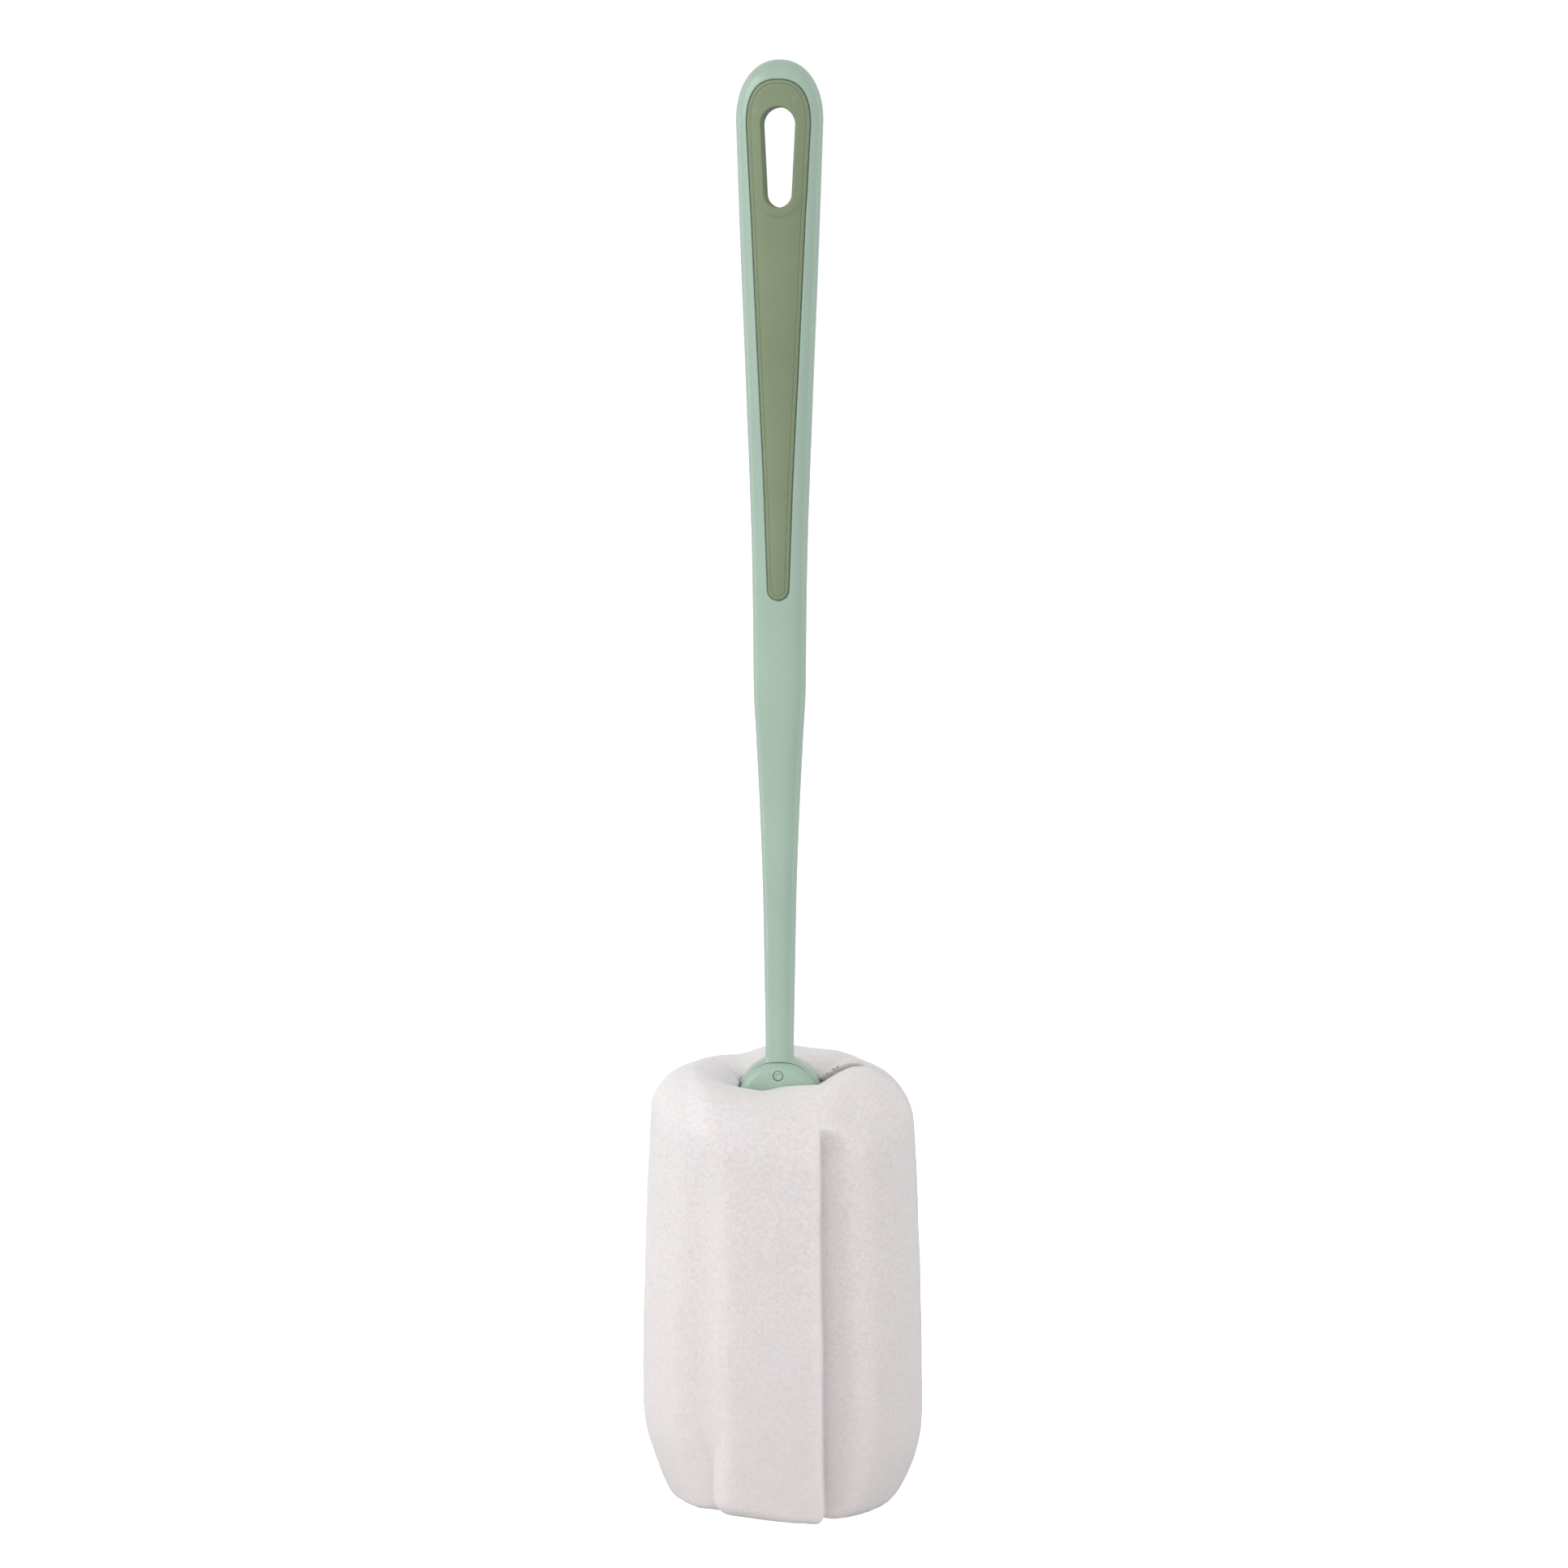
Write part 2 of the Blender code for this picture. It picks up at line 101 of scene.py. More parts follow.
def through(xs, ys, x):
    """Values at x on a smooth curve through rising stations, with no overshoot."""
    xs, ys, x = np.asarray(xs, float), np.asarray(ys, float), np.asarray(x, float)
    slope = np.diff(ys) / np.diff(xs)
    a, b = slope[:-1], slope[1:]
    mid = np.where(a * b <= 0, 0.0, 2 * a * b / np.where(a + b == 0, 1, a + b))
    grad = np.concatenate([slope[:1], mid, slope[-1:]])
    x = np.clip(x, xs[0], xs[-1])
    i = np.clip(np.searchsorted(xs, x, side="right") - 1, 0, len(xs) - 2)
    h = xs[i + 1] - xs[i]
    t = (x - xs[i]) / h
    return (
        (2 * t**3 - 3 * t**2 + 1) * ys[i]
        + (t**3 - 2 * t**2 + t) * h * grad[i]
        + (3 * t**2 - 2 * t**3) * ys[i + 1]
        + (t**3 - t**2) * h * grad[i + 1]
    )


def round_max(a, b, r):
    """Of two distances the larger, with their meeting edge rounded to r."""
    out = np.hypot(np.maximum(a + r, 0), np.maximum(b + r, 0))
    return np.minimum(np.maximum(a, b), -r) + out


def round_min(a, b, r):
    return -round_max(-a, -b, r)


def scatter(ix, iy, iz, seed):
    """A fixed pseudo-random value from 0 to 1 for each whole-number lattice point."""
    h = (
        ix.astype(np.int64) * 73856093
        ^ iy.astype(np.int64) * 19349663
        ^ iz.astype(np.int64) * 83492791
        ^ np.int64(seed * 2654435761 % 2147483647)
    ) & 0xFFFFFFFF
    h = (h ^ (h >> 16)) * 0x45D9F3B & 0xFFFFFFFF
    h = (h ^ (h >> 16)) * 0x45D9F3B & 0xFFFFFFFF
    h = h ^ (h >> 16)
    return (h & 0xFFFFFF) / float(0x1000000)


def lattice_noise(p, size, seed):
    """Smooth noise from -1 to 1 whose lumps are about size millimetres."""
    q = np.asarray(p, float) / size
    base = np.floor(q).astype(np.int64)
    f = q - base
    f = f * f * f * (f * (f * 6 - 15) + 10)
    total = np.zeros(len(q))
    for dx in (0, 1):
        for dy in (0, 1):
            for dz in (0, 1):
                w = (
                    (f[:, 0] if dx else 1 - f[:, 0])
                    * (f[:, 1] if dy else 1 - f[:, 1])
                    * (f[:, 2] if dz else 1 - f[:, 2])
                )
                total += w * scatter(
                    base[:, 0] + dx, base[:, 1] + dy, base[:, 2] + dz, seed
                )
    return total * 2 - 1


def cell_distance(p, size, seed):
    """Distance to the nearest scattered point, as a share of size."""
    q = np.asarray(p, float) / size
    base = np.floor(q).astype(np.int64)
    best = np.full(len(q), 9.0)
    for dx in (-1, 0, 1):
        for dy in (-1, 0, 1):
            for dz in (-1, 0, 1):
                c = base + np.array([dx, dy, dz])
                spot = c + np.stack(
                    [scatter(c[:, 0], c[:, 1], c[:, 2], seed + k) for k in range(3)], 1
                )
                best = np.minimum(best, ((q - spot) ** 2).sum(1))
    return np.sqrt(best)


def mesh_object(name, points, faces):
    """Mesh object in metres from points in millimetres and an array of quads or triangles."""
    mesh = bpy.data.meshes.new(name)
    faces = np.asarray(faces, np.int32)
    mesh.vertices.add(len(points))
    mesh.vertices.foreach_set("co", (np.asarray(points) * MM).astype(np.float32).ravel())
    mesh.loops.add(faces.size)
    mesh.loops.foreach_set("vertex_index", faces.ravel())
    mesh.polygons.add(len(faces))
    n = faces.shape[1]
    mesh.polygons.foreach_set("loop_start", np.arange(0, faces.size, n, dtype=np.int32))
    mesh.polygons.foreach_set("loop_total", np.full(len(faces), n, np.int32))
    mesh.update(calc_edges=True)
    ob = bpy.data.objects.new(name, mesh)
    bpy.context.scene.collection.objects.link(ob)
    return ob


class Shell:
    """Closed body sewn together from rectangular patches of points."""

    def __init__(self):
        self.points, self.faces, self.count = [], [], 0

    def patch(self, grid):
        grid = np.asarray(grid, float)
        n, m = grid.shape[:2]
        ids = np.arange(n * m).reshape(n, m) + self.count
        self.faces.append(
            np.stack(
                [ids[:-1, :-1], ids[1:, :-1], ids[1:, 1:], ids[:-1, 1:]], -1
            ).reshape(-1, 4)
        )
        self.points.append(grid.reshape(-1, 3))
        self.count += n * m

    def sides(self, grid, flip=(True, True)):
        """The patch and its mirror images: left of the middle, and behind it."""
        grid = np.asarray(grid, float)
        for x in (1, -1) if flip[0] else (1,):
            for y in (1, -1) if flip[1] else (1,):
                self.patch(grid * np.array([x, y, 1.0]))

    def build(self, name):
        ob = mesh_object(name, np.concatenate(self.points), np.concatenate(self.faces))
        sew(ob)
        return ob


def sew(ob, reach=2e-6):
    bm = bmesh.new()
    bm.from_mesh(ob.data)
    bmesh.ops.remove_doubles(bm, verts=bm.verts[:], dist=reach)
    bmesh.ops.dissolve_degenerate(bm, edges=bm.edges[:], dist=reach)
    holes = [e for e in bm.edges if len(e.link_faces) != 2]
    if holes:
        print("open edges in", ob.name, len(holes), [tuple(v.co) for v in holes[0].verts])
    bmesh.ops.recalc_face_normals(bm, faces=bm.faces[:])
    bm.to_mesh(ob.data)
    bm.free()
    ob.data.update()


def shade(ob, degrees):
    ob.data.shade_smooth()
    ob.data.set_sharp_from_angle(angle=math.radians(degrees))


def turned(name, profile, centre_z, count):
    """Round body on an axis along Y, from (radius, y) pairs listed from the front."""
    angles = 2 * np.pi * (np.arange(count + 1) % count) / count
    rows = [
        np.stack(
            [r * np.cos(angles), np.full(count + 1, y), centre_z + r * np.sin(angles)], 1
        )
        for r, y in profile
    ]
    middle_front = np.tile([0.0, profile[0][1], centre_z], (count + 1, 1))
    middle_rear = np.tile([0.0, profile[-1][1], centre_z], (count + 1, 1))
    shell = Shell()
    shell.patch(np.stack([middle_front, *rows, middle_rear]))
    return shell.build(name)


def carve(ob, tool, operation):
    """Joins or cuts with another body and removes that body."""
    mod = ob.modifiers.new(operation.lower(), "BOOLEAN")
    mod.operation = operation
    mod.solver = "EXACT"
    mod.object = tool
    graph = bpy.context.evaluated_depsgraph_get()
    mesh = bpy.data.meshes.new_from_object(ob.evaluated_get(graph), depsgraph=graph)
    ob.modifiers.clear()
    old = ob.data
    ob.data = mesh
    bpy.data.meshes.remove(old)
    bpy.data.objects.remove(tool, do_unlink=True)


def quarter(r, steps):
    """(sideways, down) of a rounded edge, from the flat of the face to its wall."""
    return [
        (r * (1 - math.sin(b)), r * (1 - math.cos(b)))
        for b in (math.pi / 2 * i / steps for i in range(steps + 1))
    ]


# -------------------------------------------------------------------- handle
def half_width(z):
    z = np.asarray(z, float)
    t = np.clip((z - CAP_W_Z) / (TOP_Z - CAP_W_Z), 0, 1)
    flare = 1.3 * np.clip((-210.4 - z) / 3.0, 0, 1) ** 2  # into the clamp's rim
    return (through(HANDLE_Z, HANDLE_W, z) + flare) * (1 - t**2.15) ** (1 / 2.15)


def half_depth(z):
    z = np.asarray(z, float)
    t = np.clip((z - CAP_D_Z) / (TOP_Z - CAP_D_Z), 0, 1)
    return through(HANDLE_Z, HANDLE_D, z) * (1 - t**2.1) ** (1 / 2.1)


def section_power(z):
    return 2.0 + 0.4 * smooth((np.asarray(z, float) + 190) / 80)


def handle_y(x, z, grow=0.0):
    """How far the handle's front face stands from its middle plane."""
    p = section_power(z)
    u = np.clip(np.abs(x) / np.maximum(half_width(z), 1e-9), 0, 1)
    return (half_depth(z) + grow) * np.maximum(1 - u**p, 0) ** (1 / p)


# Stations run along the right half of the pad outline, from its tip to its top.
# The tongue is the plain part below the hang slot, and the ring goes round the slot.
TIP_STEPS, TONGUE_STEPS, SIDE_STEPS, CAP_STEPS = 12, 66, 22, 32
ACROSS = 32
TONGUE_TOP = -26.0
CORNER = math.radians(-50.0)


def stations(offset):
    out = []
    r = PAD_W[0] + offset
    for i in range(TIP_STEPS):
        a = math.pi / 2 * i / TIP_STEPS
        out.append((r * math.sin(a), PAD_Z[0] - r * math.cos(a)))
    for low, high, n in ((PAD_Z[0], TONGUE_TOP, TONGUE_STEPS), (TONGUE_TOP, PAD_Z[-1], SIDE_STEPS)):
        for i in range(n):
            z = low + (high - low) * i / n
            out.append((float(through(PAD_Z, PAD_W, z)) + offset, z))
    w, h = PAD_W[-1] + offset, PAD_TOP_Z + offset - PAD_Z[-1]
    for i in range(CAP_STEPS + 1):
        a = math.pi / 2 * i / CAP_STEPS
        c = 0.0 if i == CAP_STEPS else math.cos(a) ** 0.8
        out.append((w * c, PAD_Z[-1] + h * math.sin(a) ** 0.8))
    return np.array(out)


TONGUE_END = TIP_STEPS + TONGUE_STEPS  # index of the station at TONGUE_TOP
CAP_START = TONGUE_END + SIDE_STEPS
LEAN = math.asin(
    (SLOT_R_TOP - SLOT_R_LOW) / (SLOT_HEIGHT - SLOT_R_TOP - SLOT_R_LOW)
)
SLOT_Z1, SLOT_Z2 = -SLOT_R_TOP, -SLOT_HEIGHT + SLOT_R_LOW


def slot_arc(upper, angle, offset):
    z, r = (SLOT_Z1, SLOT_R_TOP) if upper else (SLOT_Z2, SLOT_R_LOW)
    return ((r + offset) * math.cos(angle), z + (r + offset) * math.sin(angle))


def slot_stations(offset):
    """Points of the slot's outline that belong to the pad's stations from TONGUE_TOP up."""
    pad = stations(0.0)
    out = []
    for x, z in pad[TONGUE_END:CAP_START]:
        if z < SLOT_Z2:
            t = (z - TONGUE_TOP) / (SLOT_Z2 - TONGUE_TOP)
            out.append(slot_arc(False, CORNER + (-LEAN - CORNER) * t, offset))
        else:
            t = (z - SLOT_Z2) / (PAD_Z[-1] - SLOT_Z2)
            a, b = slot_arc(False, -LEAN, offset), slot_arc(True, -LEAN, offset)
            out.append((a[0] + (b[0] - a[0]) * t, a[1] + (b[1] - a[1]) * t))
    for i, (x, z) in enumerate(pad[CAP_START:]):
        t = math.atan2(z - PAD_Z[-1], x) / (math.pi / 2)
        x, z = slot_arc(True, -LEAN + (math.pi / 2 + LEAN) * t, offset)
        out.append((0.0 if i == CAP_STEPS else x, z))
    return np.array(out)


def slot_bottom(offset):
    """Points of the slot's lower end above the top row of the tongue, middle first."""
    angles = -math.pi / 2 + (CORNER + math.pi / 2) * np.arange(ACROSS // 2 + 1) / (
        ACROSS // 2
    )
    out = np.array([slot_arc(False, a, offset) for a in angles])
    out[0, 0] = 0.0
    return out


def slot_half_loop(offset):
    """Right half of the slot's outline, from its lowest point to its highest."""
    return np.concatenate([slot_bottom(offset)[:-1], slot_stations(offset)])


def slot_distance(x, z):
    """Distance from the slot's edge, positive outside the opening."""
    h = SLOT_Z1 - SLOT_Z2
    b = (SLOT_R_LOW - SLOT_R_TOP) / h
    a = math.sqrt(1 - b * b)
    px, pz = np.abs(x), np.asarray(z) - SLOT_Z2
    k = -b * px + a * pz
    low = np.hypot(px, pz) - SLOT_R_LOW
    high = np.hypot(px, pz - h) - SLOT_R_TOP
    mid = a * px + b * pz - SLOT_R_LOW
    return np.where(k < 0, low, np.where(k > a * h, high, mid))


def pad_face(offset, slot_offset, loops):
    """Right-hand patches in the XZ plane between the pad outline and the slot."""
    outer, inner = stations(offset), slot_stations(slot_offset)
    t = np.linspace(0, 1, loops + 1)[:, None, None]
    side = inner[None] * (1 - t) + outer[TONGUE_END:][None] * t
    u = np.arange(ACROSS // 2 + 1) / (ACROSS // 2)
    rows = outer[: TONGUE_END + 1]
    tongue = np.stack(
        [rows[:, 0][:, None] * u[None], np.repeat(rows[:, 1][:, None], len(u), 1)], -1
    )
    bottom = slot_bottom(slot_offset)[None] * (1 - t) + tongue[-1][None] * t
    return [side, bottom, tongue]


def raised(flat, height):
    """Puts points of the XZ plane at the front, height away from the middle plane."""
    x, z = flat[..., 0], flat[..., 1]
    y = height(x, z) if callable(height) else np.full(x.shape, float(height))
    return np.stack([x, -y, z], -1)


def section(x0, z0, dx, dz, count, reach):
    """Front half of a cut through the handle, evenly spaced from a start point out to
    the silhouette, in the direction (dx, dz)."""
    low, high = 0.0, reach
    for _ in range(50):  # the silhouette, where the width runs out
        mid = (low + high) / 2
        x, z = x0 + dx * mid, z0 + dz * mid
        inside = z < TOP_Z and abs(x) < half_width(z)
        low, high = (mid, high) if inside else (low, mid)
    s = low * (1 - (1 - np.linspace(0, 1, 500)) ** 3)
    x, z = x0 + dx * s, z0 + dz * s
    y = handle_y(x, z)
    y[-1] = 0.0
    run = np.concatenate([[0], np.cumsum(np.hypot(np.diff(s), np.diff(y)))])
    at = np.linspace(0, run[-1], count + 1)
    s = np.interp(at, run, s)
    x, z = x0 + dx * s, z0 + dz * s
    y = handle_y(x, z)
    y[-1] = 0.0
    return np.stack([x, -y, z], 1)


def handle_shell():
    shell = Shell()
    round_edge, seam = 0.22, 0.2
    around = 40
    edge = stations(seam + round_edge)
    below = np.concatenate(
        [
            np.linspace(DISC_Z, -213.6, 5)[:-1],
            np.linspace(-213.6, -208.8, 17)[:-1],
            np.linspace(-208.8, edge[0][1], 60)[:-1],
        ]
    )
    rows = [section(0.0, z, 1.0, 0.0, around, 12.0) for z in below]
    for i, (x, z) in enumerate(edge):
        if i <= CAP_START:
            dx, dz = 1.0, 0.0
        elif i == len(edge) - 1:
            dx, dz = 0.0, 1.0
        else:
            reach = math.hypot(x, z - PAD_Z[-1])
            dx, dz = x / reach, (z - PAD_Z[-1]) / reach
        rows.append(section(x, z, dx, dz, around, 14.0))
    shell.sides(np.stack(rows))
    # lower end, inside the clamp disc
    bottom = rows[0]
    shell.sides(np.stack([bottom, bottom * np.array([1.0, 0.0, 1.0])]))
    # rounded edge of the pad recess, its wall and its floor, and the hole in the web
    top = handle_y(edge[:, 0], edge[:, 1])
    loops = []
    for sideways, down in quarter(round_edge, 4):
        flat = stations(seam + sideways)
        loops.append(np.stack([flat[:, 0], -(top - down), flat[:, 1]], 1))
    for offset, down in ((seam, 0.4), (seam - 0.03, 0.46), (CLOSE, 0.5)):
        flat = stations(offset)
        loops.append(np.stack([flat[:, 0], -(top - down), flat[:, 1]], 1))
    loops.append(np.stack([flat[:, 0], np.full(len(flat), -PAD_FLOOR), flat[:, 1]], 1))
    shell.sides(np.stack(loops))
    for flat in pad_face(CLOSE, LINER + GAP, 3):
        shell.sides(raised(flat, PAD_FLOOR))
    hole = slot_half_loop(LINER + GAP)
    shell.sides(
        np.stack([np.stack([hole[:, 0], np.full(len(hole), -y), hole[:, 1]], 1) for y in (PAD_FLOOR, 0.0)])
    )
    return shell.build("handle_shell")


def disc_rim(radius, front, rear, r_front, r_rear, steps=9):
    points = [(radius - s, front + d) for s, d in quarter(r_front, steps)]
    points += [(radius - s, rear - d) for s, d in reversed(quarter(r_rear, steps))]
    return points


def barbed_strip(name, side):
    """Prong below its disc: a narrowing strip with saw-tooth barbs that catch upwards."""
    stations_z = [(DISC_Z, PRONG_OUT)]
    for i in range(5):
        z = -236.0 - 12.0 * i
        stations_z += [
            (z + 0.25, PRONG_OUT),
            (z + 0.08, PRONG_OUT + 0.06),
            (z + 0.04, PRONG_BARB - 0.22),
            (z - 0.04, PRONG_BARB - 0.07),
            (z - 0.2, PRONG_BARB),
            (z - 0.45, PRONG_BARB - 0.02),
            (z - 4.2, PRONG_OUT + 0.02),
            (z - 4.7, PRONG_OUT),
        ]
    tip = PRONG_TIP_Z + PRONG_HALF_TIP
    stations_z.append((tip, PRONG_OUT - 0.05))
    for i in range(1, 14):
        a = math.pi / 2 * i / 14
        stations_z.append(
            (tip - PRONG_HALF_TIP * math.sin(a), PRONG_OUT - 0.05 - 0.95 * math.sin(a) ** 6)
        )
    rings = []
    for z, outer in stations_z:
        if z >= tip:
            t = min(1.0, (DISC_Z - 4 - z) / (DISC_Z - 4 - tip)) if z < DISC_Z - 4 else 0.0
            w = PRONG_HALF_TOP + (PRONG_HALF_TIP - PRONG_HALF_TOP) * t
        else:
            w = math.sqrt(max(PRONG_HALF_TIP**2 - (tip - z) ** 2, 0.04))
        r = min(0.45, w * 0.45, (outer - PRONG_IN) * 0.45)
        ring = []
        for cx, cy, start in (
            (w - r, outer - r, 0),
            (-w + r, outer - r, 1),
            (-w + r, PRONG_IN + r, 2),
            (w - r, PRONG_IN + r, 3),
        ):
            for k in range(5):
                a = math.pi / 2 * (start + k / 4)
                ring.append((cx + r * math.cos(a), cy + r * math.sin(a)))
        ring.append(ring[0])
        ring = np.array(ring)
        rings.append(
            np.stack([ring[:, 0], side * ring[:, 1], np.full(len(ring), z)], 1)
        )
    shell = Shell()
    shell.patch(np.stack(rings))
    for ring in (rings[0], rings[-1]):
        middle = ring[:-1].mean(0)
        shell.patch(np.stack([np.tile(middle, (len(ring), 1)), ring]))
    return shell.build(name)


def cylinder(name, r, y0, y1, z, count):
    return turned(name, [(r, y0), (r, y1)], z, count)


def make_handle():
    body = handle_shell()
    rim = disc_rim(RING_R, -DISC_SPLIT - 0.35, DISC_FACE, 1.7, 0.7)
    disc = turned("rear_disc", rim, RING_Z, 144)
    carve(body, disc, "UNION")
    carve(body, barbed_strip("rear_strip", 1), "UNION")
    seat = cylinder("seat", DISC_R + 0.12, -8, -DISC_SPLIT, DISC_Z - 0.15, 144)
    carve(body, seat, "DIFFERENCE")
    carve(body, cylinder("hole", PIN_R + 0.08, -8, 8, PIN_Z, 48), "DIFFERENCE")
    shade(body, 38)
    return body


def make_front_prong():
    rim = disc_rim(DISC_R, -DISC_FACE, -DISC_SPLIT - GAP, 2.1, 0.15)
    disc = turned("front_clamp", rim, DISC_Z - 0.15, 144)
    carve(disc, barbed_strip("front_strip", -1), "UNION")
    carve(disc, cylinder("hole", PIN_R + 0.08, -8, 8, PIN_Z, 48), "DIFFERENCE")
    shade(disc, 38)
    return disc


def make_pin():
    profile = [(0.28, -PIN_HALF + 0.16), (0.42, -PIN_HALF + 0.14), (0.58, -PIN_HALF)]
    profile += [(PIN_R - s, -PIN_HALF + d) for s, d in quarter(0.28, 5)]
    profile += [(r, -y) for r, y in reversed(profile)]
    pin = turned("pin_stud", profile, PIN_Z, 56)
    shade(pin, 50)
    return pin


# ----------------------------------------------------------------- soft grip
def pad_height(x, z):
    """Front face of the pad: crowned, and raised round the slot down to a low step."""
    away = slot_distance(x, z)
    below = smooth((away - 1.55) / 1.0) * smooth((-18.5 - z) / 4.0)
    edge = np.clip(np.abs(x) / through(PAD_Z, PAD_W, z), 0, 1)
    return handle_y(x, z, PAD_CROWN) + 0.28 * (1 - below) + 0.06 - 0.46 * edge**2


PAD_GROOVE = [
    (-1.0, 0.0), (-0.94, 0.02), (-0.86, 0.10), (-0.79, 0.15),
    (-0.73, 0.12), (-0.66, 0.03), (-0.58, 0.0), (-0.42, 0.0),
]


def make_grip():
    shell = Shell()
    edge_r, slot_r = 0.42, 0.5
    for flat in pad_face(-1.0, slot_r, 14):
        shell.sides(raised(flat, pad_height))
    rim = stations(-edge_r)
    top = pad_height(rim[:, 0], rim[:, 1])
    loops = []
    for offset, down in PAD_GROOVE:
        flat = stations(offset)
        height = pad_height(flat[:, 0], flat[:, 1]) - down
        loops.append(np.stack([flat[:, 0], -height, flat[:, 1]], 1))
    for sideways, down in quarter(edge_r, 6)[1:]:
        flat = stations(-sideways)
        loops.append(np.stack([flat[:, 0], -(top - down), flat[:, 1]], 1))
    flat = stations(0.0)
    floor = PAD_FLOOR + GAP
    loops.append(np.stack([flat[:, 0], np.full(len(flat), -floor), flat[:, 1]], 1))
    shell.sides(np.stack(loops))
    for flat in pad_face(0.0, LINER, 3):
        shell.sides(raised(flat, floor))
    lip = slot_half_loop(slot_r)
    top = pad_height(lip[:, 0], lip[:, 1])
    loops = []
    for sideways, down in quarter(slot_r, 7):
        flat = slot_half_loop(sideways)
        loops.append(np.stack([flat[:, 0], -(top - down), flat[:, 1]], 1))
    wall = loops[-1]
    for share in (0.66, 0.33, 0.0):
        loops.append(wall * np.array([1.0, share, 1.0]))
    shell.sides(np.stack(loops))
    liner = slot_half_loop(LINER)
    shell.sides(
        np.stack([np.stack([liner[:, 0], np.full(len(liner), -y), liner[:, 1]], 1) for y in (floor, 0.0)])
    )
    grip = shell.build("grip_pads")
    shade(grip, 50)
    return grip


# ----------------------------------------------------------------- foam head
LOBE_R_Z = [-312, -300, -290, -276, -262, -248, -237, -229, -222, -205]
LOBE_R = [30.9, 31.2, 31.4, 31.4, 31.1, 30.6, 30.25, 29.8, 29.4, 29.2]
EDGE_Z = [-308, -299, -280.5, -262, -243, -224]
EDGE_X = [12.1, 11.75, 11.65, 11.4, 11.1, 11.1]


CREASE_X = [8.7, 11.25, 13.3, 15.9, 19, 21]
CREASE_TOP = [-215.6, -213.95, -212.9, -212.2, -212.1, -212.6]
CREASE_LOW = [-216.9, -215.5, -214.25, -213.2, -212.8, -212.8]


def top_height(x, y, side):
    """Height of the head's top: low round the clamp, and peaked on the rear lobe."""
    away = np.hypot(
        np.maximum(np.abs(x) - 8.7, 0.0), np.maximum(np.abs(y) - 4.8, 0.0)
    )
    reach = 4.8 + 1.4 * smooth(x / 8.0) * (side < 0)
    dish = 1 - np.exp(-((away / reach) ** 1.3))
    facing = np.abs(y) / np.maximum(np.hypot(x, y), 1e-6)
    if side < 0:
        left = -216.2 - 2.1 * smooth((-y - 1.0) / 3.7)
        start = left + (-216.9 - left) * smooth((x + 5.0) / 7.0)
        crest = -212.4 + 1.2 * smooth((x + 6.0) / 12.0)
        crest = crest + (-217.9 - crest) * facing**1.7
    else:
        start = -216.2 + 0.6 * smooth((x + 5.0) / 10.0)
        fall = 3.0 * smooth((-x - 2.5) / 9.5)
        rear = -210.4 - np.where(x < 1.0, fall, 0.075 * (x - 1.0))
        crest = -212.5 + 1.3 * smooth((x + 10.0) / 20.0)
        crest = crest + (rear - crest) * facing**1.5
    return start + (crest - start) * dish


SEAM_GAP = 0.02  # the halves are bonded, so they almost touch


def seam(x):
    """Where the two halves meet: a slightly wavy cut, so no light passes through."""
    return 0.2 * np.cos(x / 5.0)


